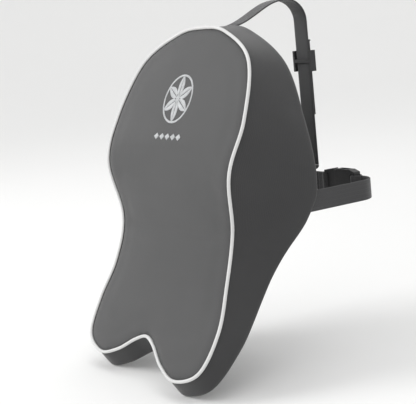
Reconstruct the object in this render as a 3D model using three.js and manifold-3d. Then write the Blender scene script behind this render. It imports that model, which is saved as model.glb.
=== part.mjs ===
// A contoured neck and head pillow that straps to the front of a headrest, in millimetres, +Z up.
// The flat upper back rests on the headrest in the plane y = 0, the face looks along -Y, and x = 0 is
// the plane of symmetry. The origin is the middle of the flat upper back.
import * as THREE from "three";
import { mergeVertices } from "three/addons/utils/BufferGeometryUtils.js";
import Module from "manifold-3d";

const wasm = await Module();
wasm.setup();

// ---- driving dimensions -------------------------------------------------------------------------
const GAP = 0.4; // clearance between touching pieces
const SKIN = 2; // cover fabric with its thin foam backing
const LEAN = THREE.MathUtils.degToRad(26); // the pillow leans back by this, so its back is upright
const BACK_MIDDLE = 97; // height of the origin above the pillow's own datum, along the back

// Right half of the face outline, seen from the front: [x, height], crown first, notch last.
const OUTLINE = [
  [0, 186], [48, 180], [107, 148], [131, 86], [129, 30], [116, -31], [118, -80],
  [127, -127], [119, -170], [82, -186], [48, -177], [20, -160], [0, -153],
];
// Side profile of the face: [height, depth], depth growing towards the headrest.
const FACE = [
  [204, -47], [134, -47], [81, -47], [27, -44], [-27, -12], [-81, -2], [-134, -3], [-204, -10],
];
const KNEE = [40, 67]; // where the flat upper back ends, under the headrest: [height, depth]
const LOWER_BACK = [[0, 65], [-94, 45], [-204, 11.5]]; // [height, depth] from the knee down

// The back outline differs a little from the face outline.
const CROWN_RISE = 16;
const LOBE_DROP = 13;
const BACK_WIDER = [[-60, 0], [10, 5], [60, 2], [110, -6], [190, -6]]; // [height, extra half width]

const PIPING_R = 1.8;
const ZIP = { height: -47, length: 176, slot: 24, tapeT: 1, toothTip: 0.9, rail: 1.1, pitch: 5.5 };
const TOP_STRAP = { width: 24, t: 1.6, rear: 96, top: 112, bend: 26, slideZ: 40, tail: [64, -22] };
const BELT = { width: 22, t: 1.8, z: -97, side: 129, rear: 85, corner: 22, slideX: -54 };
// Side-release buckle: x is its mouth, on the rear run of the belt. The slots hold the webbing.
const BUCKLE = {
  x: 60, socket: 34, plug: 20, width: 34, thick: 9.4, cavity: 26, inner: 12.2, room: 2.6, slot: 3.6,
};
const SLIDE = { length: 24, rail: 3.2, bar: 4, barT: 1.9, clear: 0.5 }; // the three-bar slides
const EMBLEM = { height: 103, ring: 28, rim: 2.6, core: 4.8, band: 60 }; // heights on the face, and radii

// ---- materials ----------------------------------------------------------------------------------
const finish = (color, roughness, metalness = 0) =>
  new THREE.MeshStandardMaterial({ color, roughness, metalness });
const CLOTH = finish(0x5c5c5d, 0.9);
const CLOTH_DARK = finish(0x3f3f40, 0.9);
const FOAM = finish(0xe8e2cf, 0.95);
const PIPING = finish(0xdcdcda, 0.6);
const WEBBING = finish(0x333436, 0.85);
const TAPE = finish(0x2f2f30, 0.85);
const PLASTIC = finish(0x1d1d1f, 0.45);
const METAL = finish(0xb9bcc0, 0.3, 1);
const THREAD = finish(0xc4c6c8, 0.45);

const part = new THREE.Group();
const pillow = new THREE.Group();
pillow.rotation.x = -LEAN;
pillow.position.set(0, -(KNEE[1] * Math.cos(LEAN) + KNEE[0] * Math.sin(LEAN)), -BACK_MIDDLE);
part.add(pillow);

// ---- helpers ------------------------------------------------------------------------------------
function add(parent, name, geometry, material) {
  const mesh = new THREE.Mesh(geometry, material);
  mesh.name = name;
  parent.add(mesh);
  return mesh;
}

function toSolid(geometry) {
  const g = geometry.clone();
  g.deleteAttribute("normal");
  g.deleteAttribute("uv");
  const merged = mergeVertices(g, 1e-4);
  return new wasm.Manifold(
    new wasm.Mesh({
      numProp: 3,
      vertProperties: new Float32Array(merged.attributes.position.array),
      triVerts: new Uint32Array(merged.index.array),
    }),
  );
}

function toGeometry(solid) {
  const m = solid.getMesh();
  const g = new THREE.BufferGeometry();
  g.setAttribute("position", new THREE.BufferAttribute(new Float32Array(m.vertProperties), 3));
  g.setIndex(new THREE.BufferAttribute(new Uint32Array(m.triVerts), 1));
  return g;
}

// Turns every face over, after a mirroring scale.
function flip(geometry) {
  const p = geometry.attributes.position.array;
  if (geometry.index) {
    const index = geometry.index.array;
    for (let i = 0; i < index.length; i += 3) [index[i + 1], index[i + 2]] = [index[i + 2], index[i + 1]];
    return geometry;
  }
  for (let i = 0; i < p.length; i += 9)
    for (let k = 0; k < 3; k++) [p[i + 3 + k], p[i + 6 + k]] = [p[i + 6 + k], p[i + 3 + k]];
  return geometry;
}

function shapeOf(points) {
  return new THREE.Shape(points.map(([x, y]) => new THREE.Vector2(x, y)));
}

function extruded(points, depth) {
  return new THREE.ExtrudeGeometry(shapeOf(points), { depth, bevelEnabled: false, steps: 1 });
}

// A table of [position, value] read by straight lines, positions rising or falling.
function lookup(table, at) {
  const rows = [...table].sort((p, q) => p[0] - q[0]);
  if (at <= rows[0][0]) return rows[0][1];
  for (let i = 1; i < rows.length; i++) {
    if (at > rows[i][0]) continue;
    const t = (at - rows[i - 1][0]) / (rows[i][0] - rows[i - 1][0]);
    return THREE.MathUtils.lerp(rows[i - 1][1], rows[i][1], t);
  }
  return rows.at(-1)[1];
}

function smooth(points, steps, closed) {
  const curve = new THREE.CatmullRomCurve3(
    points.map(([x, y]) => new THREE.Vector3(x, y, 0)), closed, "catmullrom", 0.5,
  );
  const n = (closed ? points.length : points.length - 1) * steps;
  const out = [];
  for (let i = 0; i < (closed ? n : n + 1); i++) {
    const p = curve.getPoint(i / n);
    out.push([p.x, p.y]);
  }
  return out;
}

// ---- the pillow's own shape: x, depth, height ---------------------------------------------------
const mirrored = OUTLINE.slice(1, -1).reverse().map(([x, z]) => [-x, z]);
const outline = smooth([...OUTLINE, ...mirrored], 3, true);
const face = smooth(FACE, 3, false);
const backSlope = Math.tan(LEAN);

const faceDepth = (h) => lookup(face, h);
function backDepth(h) {
  if (h > KNEE[0]) return KNEE[1] - backSlope * (h - KNEE[0]);
  return lookup([KNEE, ...LOWER_BACK], h);
}

// The outline moved inwards by a distance, along its own normals.
function insetOutline(distance) {
  return outline.map(([x, z], i) => {
    const a = outline.at(i - 1);
    const b = outline[(i + 1) % outline.length];
    const length = Math.hypot(b[0] - a[0], b[1] - a[1]);
    return [x + ((b[1] - a[1]) / length) * distance, z - ((b[0] - a[0]) / length) * distance];
  });
}

const REACH = 160; // past the pillow in every direction across it
const TOP = 204; // past it in height

// A prism of an outline, running through the whole depth of the pillow.
function outlinePrism(distance) {
  const g = extruded(insetOutline(distance), 2 * REACH);
  g.rotateX(Math.PI / 2);
  g.translate(0, REACH, 0);
  return toSolid(g);
}

// Turns an outline drawn as [Y, Z] and extruded to a width into a piece centred on x = 0.
function acrossX(geometry, width) {
  const turn = new THREE.Matrix4().set(0, 0, 1, -width / 2, 1, 0, 0, 0, 0, 1, 0, 0, 0, 0, 0, 1);
  return geometry.applyMatrix4(turn);
}

// A prism across the whole width between two side profiles, from one height to another.
function bandPrism(nearDepth, farDepth, low, high) {
  const stations = [low, high, KNEE[0]];
  for (const row of [...face, ...LOWER_BACK]) stations.push(row[0]);
  const heights = [...new Set(stations)].filter((h) => h >= low && h <= high).sort((a, b) => a - b);
  const near = heights.map((h) => [nearDepth(h), h]);
  const far = heights.map((h) => [farDepth(h), h]).reverse();
  return toSolid(acrossX(extruded([...far, ...near].reverse(), 2 * REACH), 2 * REACH));
}

// Moves a straight-walled piece to the true shape, whose back outline differs from its face outline.
function flare(geometry) {
  const p = geometry.attributes.position;
  for (let i = 0; i < p.count; i++) {
    const [x, d, h] = [p.getX(i), p.getY(i), p.getZ(i)];
    const front = faceDepth(h);
    const t = (d - front) / (backDepth(h) - front);
    const rise = CROWN_RISE * THREE.MathUtils.clamp((h - 40) / (OUTLINE[0][1] - 40), 0, 1);
    const drop = LOBE_DROP * THREE.MathUtils.clamp((-56 - h) / 130, 0, 1);
    const h2 = h + (rise - drop) * t;
    const edge = THREE.MathUtils.clamp(x / 40, -1, 1);
    p.setXYZ(i, x + edge * lookup(BACK_WIDER, h) * t, front + t * (backDepth(h2) - front), h2);
  }
  return geometry;
}

const pillowPiece = (name, solid, material) =>
  add(pillow, name, flare(toGeometry(solid)), material);

// The zip's own frame: X along the zip, Y out of the lower back, Z up the lower back.
const zipFrame = new THREE.Group();
zipFrame.position.set(0, backDepth(ZIP.height), ZIP.height);
const [belowKnee, waist] = LOWER_BACK;
zipFrame.rotation.x = -Math.atan2(belowKnee[1] - waist[1], belowKnee[0] - waist[0]);
pillow.add(zipFrame);
zipFrame.updateMatrix();

function box(sx, sy, sz, x = 0, y = 0, z = 0) {
  const g = new THREE.BoxGeometry(sx, sy, sz);
  g.translate(x, y, z);
  return g;
}

// ---- cover and foam -----------------------------------------------------------------------------
const pipingDepth = 1.2; // the piping's axis behind the face
const rim = pipingDepth + PIPING_R + 2.5 * GAP; // where the boxing starts behind the face
const whole = outlinePrism(GAP / 2);
const slotLength = ZIP.length + 14;

const zipRecess = toSolid(box(slotLength, 16, 15).applyMatrix4(zipFrame.matrix));
pillowPiece(
  "foam_core",
  outlinePrism(SKIN + 2 * GAP).intersect(
    bandPrism((h) => faceDepth(h) + SKIN + GAP + 0.6, (h) => backDepth(h) - SKIN - GAP, -TOP, TOP),
  ).subtract(zipRecess),
  FOAM,
);
pillowPiece(
  "front_panel",
  outlinePrism(PIPING_R + 2 * GAP).intersect(
    bandPrism(faceDepth, (h) => faceDepth(h) + SKIN, -TOP, TOP),
  ),
  CLOTH,
);
pillowPiece(
  "boxing",
  whole.subtract(outlinePrism(SKIN + GAP / 2)).intersect(
    bandPrism((h) => faceDepth(h) + rim, (h) => backDepth(h) - SKIN - GAP, -TOP, TOP),
  ),
  CLOTH_DARK,
);
const backSeam = KNEE[0] + 12; // the flat back's lower seam lies a little above the knee
const backSkin = (low, high) =>
  whole.intersect(bandPrism((h) => backDepth(h) - SKIN, backDepth, low, high));
pillowPiece("upper_back_panel", backSkin(backSeam + GAP / 2, TOP), CLOTH_DARK);

const slot = toSolid(box(slotLength, 20, ZIP.slot).applyMatrix4(zipFrame.matrix));
pillowPiece("knee_panel", backSkin(ZIP.height + GAP / 2, backSeam - GAP / 2).subtract(slot), CLOTH_DARK);
pillowPiece("lower_back_panel", backSkin(-TOP, ZIP.height - GAP / 2).subtract(slot), CLOTH_DARK);

// Piping: a round cord of fabric all round the face, in the seam with the boxing.
const pipingPath = new THREE.CatmullRomCurve3(
  outline.map(([x, z]) => new THREE.Vector3(x, faceDepth(z) + pipingDepth, z)), true,
);
const pipingTube = new THREE.TubeGeometry(pipingPath, outline.length * 2, PIPING_R, 8, true);
add(pillow, "face_piping", pipingTube, PIPING);

// ---- zip in the lower back ----------------------------------------------------------------------
// Each tape lies in the slot, just below the back. Its teeth stand along the inner edge, and the two
// rows are modelled just apart, so that the slider's thin post passes between them.
const tapeInner = ZIP.toothTip + ZIP.rail + GAP;
const tapeOuter = ZIP.slot / 2 - GAP;
function toothRow() {
  const base = ZIP.toothTip + ZIP.rail;
  const shoulder = base - ZIP.rail * 0.35;
  const count = Math.floor((ZIP.length - 16) / ZIP.pitch);
  const start = (-count * ZIP.pitch) / 2;
  const points = [[start, base], [start, shoulder]];
  for (let i = 0; i < count; i++) {
    const left = start + (i + 0.3) * ZIP.pitch;
    const right = start + (i + 0.7) * ZIP.pitch;
    points.push([left, shoulder], [left, ZIP.toothTip], [right, ZIP.toothTip], [right, shoulder]);
  }
  points.push([-start, shoulder], [-start, base]);
  const row = extruded(points, 1.5);
  row.rotateX(Math.PI / 2);
  row.translate(0, 0.4, 0);
  return row;
}
for (const [side, turn] of [["upper", 0], ["lower", Math.PI]]) {
  const tapeWidth = tapeOuter - tapeInner;
  const tape = box(ZIP.length, ZIP.tapeT, tapeWidth, 0, -1.2, tapeInner + tapeWidth / 2);
  const teeth = toothRow();
  if (turn) for (const g of [tape, teeth]) g.scale(1, 1, -1);
  if (turn) for (const g of [tape, teeth]) flip(g);
  add(zipFrame, `zip_tape_${side}`, tape, TAPE);
  add(zipFrame, `zip_teeth_${side}`, teeth, METAL);
}
const stopX = ZIP.length / 2 - 3.5;
for (const [side, sign] of [["left", -1], ["right", 1]]) {
  add(zipFrame, `zip_stop_${side}`, box(3, 1.6, 2 * (tapeInner - GAP), sign * stopX, -0.4, 0), METAL);
}

// Slider: an upper and a lower plate on a thin post between the tooth rows, with a bridge over the
// crossbar of the pull. It parks at the right-hand end.
const slider = new THREE.Group();
slider.position.set(stopX - 10, 0, 0);
zipFrame.add(slider);
const PULL_AXIS = 2.65; // height of the pull's crossbar over the back
function sliderBody() {
  const plate = [[-6, -3.2], [4, -4.6], [6, -3.4], [6, 3.4], [4, 4.6], [-6, 3.2]];
  const pieces = [
    [extruded(plate, 0.9), 1.7],
    [extruded(plate, 0.7), -2.1],
  ].map(([g, top]) => toSolid(g.rotateX(Math.PI / 2).translate(0, top, 0)));
  pieces.push(toSolid(box(5, 3.6, 1, 2.5, -0.8, 0)));
  for (const x of [-3, 3]) pieces.push(toSolid(box(1.2, 2.4, 1.6, x, 2.7, 0)));
  pieces.push(toSolid(box(7.2, 1, 1.6, 0, 4.1, 0)));
  return toGeometry(pieces.reduce((a, b) => a.add(b)));
}
add(slider, "zip_slider", sliderBody(), METAL);

// Pull: a flat tab whose crossbar turns under the bridge. It lies towards the middle of the zip.
function pullTab() {
  const tab = new THREE.Shape();
  tab.moveTo(0.7, -2.3);
  tab.lineTo(0.7, 2.3);
  tab.lineTo(-6, 2.6);
  tab.lineTo(-19, 3.6);
  tab.absarc(-22, 0, 4.7, THREE.MathUtils.degToRad(50), THREE.MathUtils.degToRad(310), false);
  tab.lineTo(-6, -2.6);
  const window = shapeOf([[-0.7, 1.2], [-0.7, -1.2], [-5.2, -1.2], [-5.2, 1.2]]);
  const eye = new THREE.Path().absarc(-22, 0, 1.7, 0, 2 * Math.PI, true);
  tab.holes.push(window, eye);
  const g = new THREE.ExtrudeGeometry(tab, { depth: 1.1, bevelEnabled: false, curveSegments: 8 });
  g.rotateX(Math.PI / 2);
  g.translate(0, 0.55, 0);
  return g;
}
const pull = new THREE.Group();
pull.position.y = PULL_AXIS;
slider.add(pull);
add(pull, "zip_pull", pullTab(), METAL);

// ---- embroidered motif on the face --------------------------------------------------------------
// A six-petalled rosette in a ring, over a short band of lozenges, raised 0.8 mm.
function raised(shape, segments) {
  const g = new THREE.ExtrudeGeometry(shape, { depth: 0.8, bevelEnabled: false, curveSegments: segments });
  g.rotateX(Math.PI / 2);
  g.translate(0, FACE[1][1] - GAP, 0);
  return g;
}
function rosette() {
  const ring = new THREE.Shape().absarc(0, 0, EMBLEM.ring, 0, 2 * Math.PI, false);
  ring.holes.push(new THREE.Path().absarc(0, 0, EMBLEM.ring - EMBLEM.rim, 0, 2 * Math.PI, true));
  let solid = toSolid(raised(ring, 24));
  const core = new THREE.Shape().absarc(0, 0, EMBLEM.core, 0, 2 * Math.PI, false);
  solid = solid.add(toSolid(raised(core, 10)));
  for (let i = 0; i < 6; i++) {
    const petal = new THREE.Shape();
    const belly = EMBLEM.ring / 2;
    petal.moveTo(0, 1);
    petal.quadraticCurveTo(0.82 * belly, belly, 0, EMBLEM.ring - 1);
    petal.quadraticCurveTo(-0.82 * belly, belly, 0, 1);
    solid = solid.add(toSolid(raised(petal, 5).rotateY((i * Math.PI) / 3)));
  }
  return toGeometry(solid);
}
const motif = add(pillow, "emblem_rosette", rosette(), THREAD);
motif.position.z = EMBLEM.height;

function lozengeBand() {
  const across = [];
  const back = [];
  for (let i = 0; i < 5; i++) {
    const x = (i - 2) * 11.5;
    across.push([x - 4.6, -0.5], [x, -4], [x + 4.6, -0.5]);
    back.push([x - 4.6, 0.5], [x, 4], [x + 4.6, 0.5]);
  }
  return raised(shapeOf([...across, ...back.reverse()]), 1);
}
const bandMotif = add(pillow, "emblem_band", lozengeBand(), THREAD);
bandMotif.position.z = EMBLEM.band;

// ---- straps -------------------------------------------------------------------------------------
// A flat strap as the outline of its edge view, offset each way from its middle line.
function strapOutline(line, t) {
  const side = (sign) =>
    line.map(([x, y], i) => {
      const a = line[Math.max(i - 1, 0)];
      const b = line[Math.min(i + 1, line.length - 1)];
      const length = Math.hypot(b[0] - a[0], b[1] - a[1]);
      return [x - ((b[1] - a[1]) / length) * sign * (t / 2), y + ((b[0] - a[0]) / length) * sign * (t / 2)];
    });
  return [...side(-1), ...side(1).reverse()];
}

// A strap seen edge-on in the Y-Z plane, its width along X about x = 0.
function strapAcrossX(line, width, t) {
  return acrossX(extruded(strapOutline(line, t), width), width);
}

// A strap seen edge-on in the X-Y plane, its width along Z about z = BELT.z.
function strapAcrossZ(line, width, t) {
  return extruded(strapOutline(line, t), width).translate(0, 0, BELT.z - width / 2);
}

function arc(cx, cy, r, fromDeg, toDeg, steps) {
  const points = [];
  for (let i = 0; i <= steps; i++) {
    const a = THREE.MathUtils.degToRad(fromDeg + ((toDeg - fromDeg) * i) / steps);
    points.push([cx + r * Math.cos(a), cy + r * Math.sin(a)]);
  }
  return points;
}

// Top strap: sewn into the back seam of the crown, over the round top of the headrest, down its back.
const strapTopZ = TOP_STRAP.top;
const strapLoopTop = BELT.z + BELT.width / 2 + 5;
const strapY = TOP_STRAP.rear;
const overHeadrest = [
  [0.6, 88.8], [5, 89.8], [10, 91.3], [17, 94], [27, 98.6], [38, 104], [50, 109], [61, strapTopZ - 0.5],
];
const bend = TOP_STRAP.bend;
const topLine = [
  ...overHeadrest,
  ...arc(strapY - bend, strapTopZ - bend, bend, 90, 0, 6),
  [strapY, strapLoopTop + GAP],
];
add(part, "top_strap", strapAcrossX(topLine, TOP_STRAP.width, TOP_STRAP.t), WEBBING);

// The spare end of the top strap, doubled behind it from the adjuster.
const tailY = strapY + TOP_STRAP.t + GAP;
const tailLine = TOP_STRAP.tail.map((z) => [tailY, z]);
add(part, "top_strap_tail", strapAcrossX(tailLine, TOP_STRAP.width - 1, TOP_STRAP.t), WEBBING);

// The loop at the bottom of the top strap, which the belt runs through.
const loopWall = TOP_STRAP.t;
const loopInner = { y: BELT.t + 2.4, z: BELT.width + 2.4 };
function strapLoop() {
  const middle = [BELT.rear, BELT.z];
  const { y, z } = loopInner;
  const w = TOP_STRAP.width;
  const outer = box(w, y + 2 * loopWall, z + 2 * loopWall, 0, ...middle);
  const inner = box(w + 2, y, z, 0, ...middle);
  const top = BELT.z + (z + loopWall) / 2;
  const bridge = strapAcrossX([[BELT.rear, top], [strapY, top]], w, loopWall);
  const rise = strapAcrossX([[strapY, top - loopWall / 2], [strapY, strapLoopTop]], w, loopWall);
  const solid = [outer, bridge, rise].map(toSolid).reduce((a, b) => a.add(b));
  return toGeometry(solid.subtract(toSolid(inner)));
}
add(part, "top_strap_loop", strapLoop(), WEBBING);

// Belt: from each side of the knee, round under the headrest to the buckle behind it.
pillow.updateMatrix();
const infront = bandPrism(() => -150, (h) => backDepth(h) + GAP, -TOP, TOP);
const clearOfPillow = toSolid(toGeometry(infront).applyMatrix4(pillow.matrix));
function beltSide(sign, rearEnd) {
  const r = BELT.corner;
  const line = [
    [BELT.side, -30],
    ...arc(BELT.side - r, BELT.rear - r, r, 0, 90, 6),
    [rearEnd, BELT.rear],
  ];
  const g = strapAcrossZ(line, BELT.width, BELT.t);
  if (sign < 0) flip(g.scale(-1, 1, 1));
  return toGeometry(toSolid(g).subtract(clearOfPillow));
}
const elasticStart = -84; // where the elastic rear run takes over from the left-hand side of the belt
const plugEnd = BUCKLE.x - BUCKLE.plug - GAP;
add(part, "belt_right", beltSide(1, BUCKLE.x + BUCKLE.socket + GAP), WEBBING);
add(part, "belt_left", beltSide(-1, -elasticStart + GAP), WEBBING);
const elasticLine = [[plugEnd, BELT.rear], [elasticStart, BELT.rear]];
add(part, "belt_rear_elastic", strapAcrossZ(elasticLine, BELT.width, BELT.t), WEBBING);
const beltTailY = BELT.rear + BELT.t + GAP;
const beltTailLine = [[-22, beltTailY], [-72, beltTailY]];
add(part, "belt_tail", strapAcrossZ(beltTailLine, BELT.width - 1, BELT.t), WEBBING);

// ---- adjusters: a three-bar slide on each strap -------------------------------------------------
// Local frame: the strap runs along Z, its width is X, its middle plane is y = 0. Two bars lie behind
// the doubled strap and one in front of it, joined by a rail past each edge.
function threeBarSlide(width, t) {
  const { length, rail, bar, barT, clear } = SLIDE;
  const railX = (width + rail) / 2 + 2 * GAP;
  const near = -t / 2 - clear - barT;
  const far = 1.5 * t + GAP + clear + barT;
  const pieces = [-1, 1].map((s) => box(rail, far - near, length, s * railX, (far + near) / 2, 0));
  const endBar = (length - bar) / 2;
  for (const z of [-endBar, endBar]) pieces.push(box(2 * railX, barT, bar, 0, far - barT / 2, z));
  pieces.push(box(2 * railX, barT, bar, 0, near + barT / 2, 0));
  return toGeometry(pieces.map(toSolid).reduce((a, b) => a.add(b)));
}
const topSlide = add(part, "top_adjuster", threeBarSlide(TOP_STRAP.width, TOP_STRAP.t), PLASTIC);
topSlide.position.set(0, strapY, TOP_STRAP.slideZ);
const beltSlide = add(part, "belt_adjuster", threeBarSlide(BELT.width, BELT.t), PLASTIC);
beltSlide.position.set(BELT.slideX, BELT.rear, BELT.z);
beltSlide.rotation.y = Math.PI / 2;

// ---- side-release buckle ------------------------------------------------------------------------
// Local frame: the socket opens towards -X at x = 0, Z is across the belt, Y is its thickness.
const buckle = new THREE.Group();
buckle.position.set(BUCKLE.x, BELT.rear, BELT.z);
part.add(buckle);
const half = BUCKLE.width / 2;
const webbingSlot = (x) => box(BUCKLE.slot, 20, BELT.width + 1, x, 0, 0);

// A plate of an outline drawn as [X, Z], its thickness along Y about y = 0.
const plateOf = (points, t) => extruded(points, t).rotateX(Math.PI / 2).translate(0, t / 2, 0);

function socket() {
  const { socket: end, cavity, inner, room, thick } = BUCKLE;
  const side = [[0, half - 3], [4, half], [end - 8, half], [end, half - 2.5]];
  const below = side.map(([x, z]) => [x, -z]);
  const outer = plateOf([...below, ...side.reverse()], thick);
  const cuts = [
    box(cavity + 1, 2 * room, 2 * inner, cavity / 2 - 0.5, 0, 0),
    box(14, 2 * room + 1.2, 4 * half, 15.5, 0, 0), // the windows that the prongs show in
    webbingSlot(end - 5),
  ];
  return toGeometry(cuts.map(toSolid).reduce((a, b) => a.subtract(b), toSolid(outer)));
}
add(buckle, "buckle_socket", socket(), PLASTIC);

function plug() {
  const side = [[-BUCKLE.plug, half - 3], [-3, half], [-GAP, half - 2]];
  const below = side.map(([x, z]) => [x, -z]);
  const base = plateOf([...below, ...side.reverse()], 7);
  const tongue = box(23, 3, 4, 10.6, 0, 0);
  return toGeometry(toSolid(base).add(toSolid(tongue)).subtract(toSolid(webbingSlot(5 - BUCKLE.plug))));
}
add(buckle, "buckle_plug", plug(), PLASTIC);

// A prong: a springy arm from the plug to a nose that looks out through the socket's window.
const prongOutline = [
  [0.2, 6.4], [9, 7.2], [22.6, 8.2], [23.4, 10.2], [21, 12.2],
  [15, 16.2], [10.4, 15.8], [9.4, 11], [0.2, 9.6],
];
for (const [side, sign] of [["upper", 1], ["lower", -1]]) {
  const prong = plateOf(prongOutline, 4.2);
  if (sign < 0) flip(prong.scale(1, 1, -1));
  add(buckle, `buckle_prong_${side}`, prong, PLASTIC);
}

export default part;
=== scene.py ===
"""Looks of a contoured headrest pillow: a fabric cover with piping over a foam core, an embroidered
motif, a zip, and webbing straps with plastic fittings.

The pillow is drawn in its own frame in millimetres: x across, d for depth towards the headrest,
h for height. to_part() moves such points to the part's frame in metres.
"""

import math

import bmesh
import bpy
import numpy as np
from mathutils import Matrix, Vector
from mathutils.bvhtree import BVHTree
from mathutils.geometry import delaunay_2d_cdt
from mathutils.kdtree import KDTree


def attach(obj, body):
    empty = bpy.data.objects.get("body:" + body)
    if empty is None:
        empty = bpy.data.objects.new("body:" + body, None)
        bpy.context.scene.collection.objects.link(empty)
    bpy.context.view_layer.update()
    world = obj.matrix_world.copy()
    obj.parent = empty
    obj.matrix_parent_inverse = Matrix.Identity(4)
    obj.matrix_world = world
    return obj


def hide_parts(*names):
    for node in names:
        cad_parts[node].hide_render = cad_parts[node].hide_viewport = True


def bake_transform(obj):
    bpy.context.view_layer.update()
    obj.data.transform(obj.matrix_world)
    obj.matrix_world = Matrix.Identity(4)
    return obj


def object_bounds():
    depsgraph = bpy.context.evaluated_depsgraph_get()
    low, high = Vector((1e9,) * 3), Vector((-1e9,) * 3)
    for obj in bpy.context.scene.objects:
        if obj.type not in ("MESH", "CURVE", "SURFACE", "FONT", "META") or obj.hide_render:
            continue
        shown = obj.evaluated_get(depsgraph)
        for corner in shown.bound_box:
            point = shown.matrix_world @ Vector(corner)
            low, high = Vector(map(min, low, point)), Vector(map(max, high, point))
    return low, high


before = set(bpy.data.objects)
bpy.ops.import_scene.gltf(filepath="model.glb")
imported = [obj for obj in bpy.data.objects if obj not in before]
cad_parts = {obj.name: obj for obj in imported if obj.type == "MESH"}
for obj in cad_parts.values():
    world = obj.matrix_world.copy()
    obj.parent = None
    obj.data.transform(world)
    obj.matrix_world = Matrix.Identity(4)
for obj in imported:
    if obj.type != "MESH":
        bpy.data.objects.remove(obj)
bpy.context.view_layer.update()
scene = bpy.context.scene
MM = 0.001

# ---- driving dimensions, millimetres ------------------------------------------------------------
LEAN = math.radians(26)
COS, SIN = math.cos(LEAN), math.sin(LEAN)
BACK_MIDDLE = 97
KNEE = (40, 67)
OUTLINE = [
    (0, 186), (48, 180), (107, 148), (131, 86), (129, 30), (116, -31), (118, -80),
    (127, -127), (119, -170), (82, -186), (48, -177), (20, -160), (0, -153),
]
FACE = [
    (204, -47), (134, -47), (81, -47), (27, -44), (-27, -12), (-81, -2), (-134, -3), (-204, -10),
]
LOWER_BACK = [(0, 65), (-94, 45), (-204, 11.5)]
CROWN_RISE, LOBE_DROP = 16, 13
BACK_WIDER = [(-60, 0), (10, 5), (60, 2), (110, -6), (190, -6)]

PIPING_R, PIPING_DEPTH = 1.8, 1.2
EDGE = 1.3  # how far each panel's edge tucks under the piping or into a seam
BACK_SEAM = KNEE[0] + 12
SEAM_GAP = 0.04
ZIP = {"h": -47, "half": 84, "tape": 88, "open": 6.8, "tape_in": 2.6, "tape_out": 11.4, "y": -1.2}
STRAP = {"width": 24, "t": 1.6, "rear": 96, "top": 112, "bend": 26, "tail": (64, -22)}
BELT = {"width": 22, "t": 1.8, "z": -97, "side": 129, "rear": 85, "corner": 22, "tail": (-22, -72)}
TAIL_GAP = 0.4  # between a strap and its doubled spare end
EMBLEM = {"h": 103, "ring": 28, "rim": 2.6, "core": 4.8, "band": 60}
PANEL_T = 1.2  # thickness of the cover panels
RING = 400  # points round the outline
TUCK, TUCK_WIDTH = 2.6, 13  # how deep the face rolls in at the piping, and over what distance

# The cover's swelling, by cloth simulation
VOXEL = 6
HELD, LET_GO = 4, 10  # distances from a seam where the cover is held fast, and where it moves freely
SWELL_STEPS = 20
PUFF_CAP = 3.2  # the cover stands proud of the drawn shape by no more than this
FACE_FADE, SIDE_FADE = 34, 9  # distance from a seam at which the swelling is in full
FOAM_INSET, ZIP_HOLLOW = 3.4, 6  # how far inside the cover the foam lies, and its hollow behind the zip

# The photo's viewpoint, in the part's frame
CAMERA = {"at": (1.0741, -0.7130, 0.1055), "lens": 99.5}
CAMERA |= {"right": (0.5349, 0.8391, -0.0987), "ahead": (-0.8407, 0.5169, -0.1614)}
rng = np.random.default_rng(7)


# ---- curves and the pillow's shape --------------------------------------------------------------
def smooth(points, steps, closed=False):
    """A uniform Catmull-Rom curve through the points."""
    p = np.array(points, float)
    n = len(p)
    if closed:
        p = np.concatenate([p[-1:], p, p[:2]])
    else:
        p = np.concatenate([[2 * p[0] - p[1]], p, [2 * p[-1] - p[-2]]])
    t = (np.arange(steps) / steps)[:, None]
    out = []
    for i in range(n if closed else n - 1):
        a, b, c, d = p[i : i + 4]
        out.append(
            0.5
            * (
                2 * b
                + (c - a) * t
                + (2 * a - 5 * b + 4 * c - d) * t**2
                + (3 * b - a - 3 * c + d) * t**3
            )
        )
    return np.concatenate(out if closed else [*out, p[-2:-1]])


def lengths(points):
    """Distance along a polyline at each of its points."""
    return np.concatenate([[0], np.cumsum(np.linalg.norm(np.diff(points, axis=0), axis=1))])


def resample(points, step=None, count=None):
    """The same polyline with evenly spaced points."""
    points = np.array(points, float)
    s = lengths(points)
    n = count or max(2, int(round(s[-1] / step)) + 1)
    at = np.linspace(0, s[-1], n)
    return np.stack([np.interp(at, s, column) for column in points.T], 1)


def table(rows):
    """Straight-line interpolation of (position, value) rows."""
    rows = np.array(rows, float)
    rows = rows[np.argsort(rows[:, 0])]
    return lambda at: np.interp(at, rows[:, 0], rows[:, 1])


face_depth = table(smooth(FACE, 12))
back_slope = math.tan(LEAN)
back_line = table([(400, KNEE[1] - back_slope * (400 - KNEE[0])), KNEE, *LOWER_BACK])
back_wider = table(BACK_WIDER)


def back_depth(h):
    """Depth of the back, its corners rounded by averaging over a short height."""
    return np.mean([back_line(h + shift) for shift in (-7, -3.5, 0, 3.5, 7)], axis=0)


def flare(x, h, t):
    """A point of the cover's side: (x, h) on the face outline, t from 0 at the face to 1 at the back."""
    rise = CROWN_RISE * np.clip((h - 40) / (OUTLINE[0][1] - 40), 0, 1)
    drop = LOBE_DROP * np.clip((-56 - h) / 130, 0, 1)
    h2 = h + (rise - drop) * t
    x2 = x + np.clip(x / 40, -1, 1) * back_wider(h) * t
    front = face_depth(h)
    return x2, front + t * (back_depth(h2) - front), h2


def to_part(x, d, h):
    """Points of the pillow's own frame, in millimetres, as metres in the part's frame."""
    x, d, h = np.broadcast_arrays(x, d, h)
    y = d * COS + h * SIN - (KNEE[1] * COS + KNEE[0] * SIN)
    z = -d * SIN + h * COS - BACK_MIDDLE
    return np.stack([x, y, z], -1) * MM


both_halves = OUTLINE + [(-x, h) for x, h in OUTLINE[-2:0:-1]]
closed_outline = smooth(both_halves, 16, closed=True)
outline = resample(np.concatenate([closed_outline, closed_outline[:1]]), count=RING + 1)[:-1]


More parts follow.
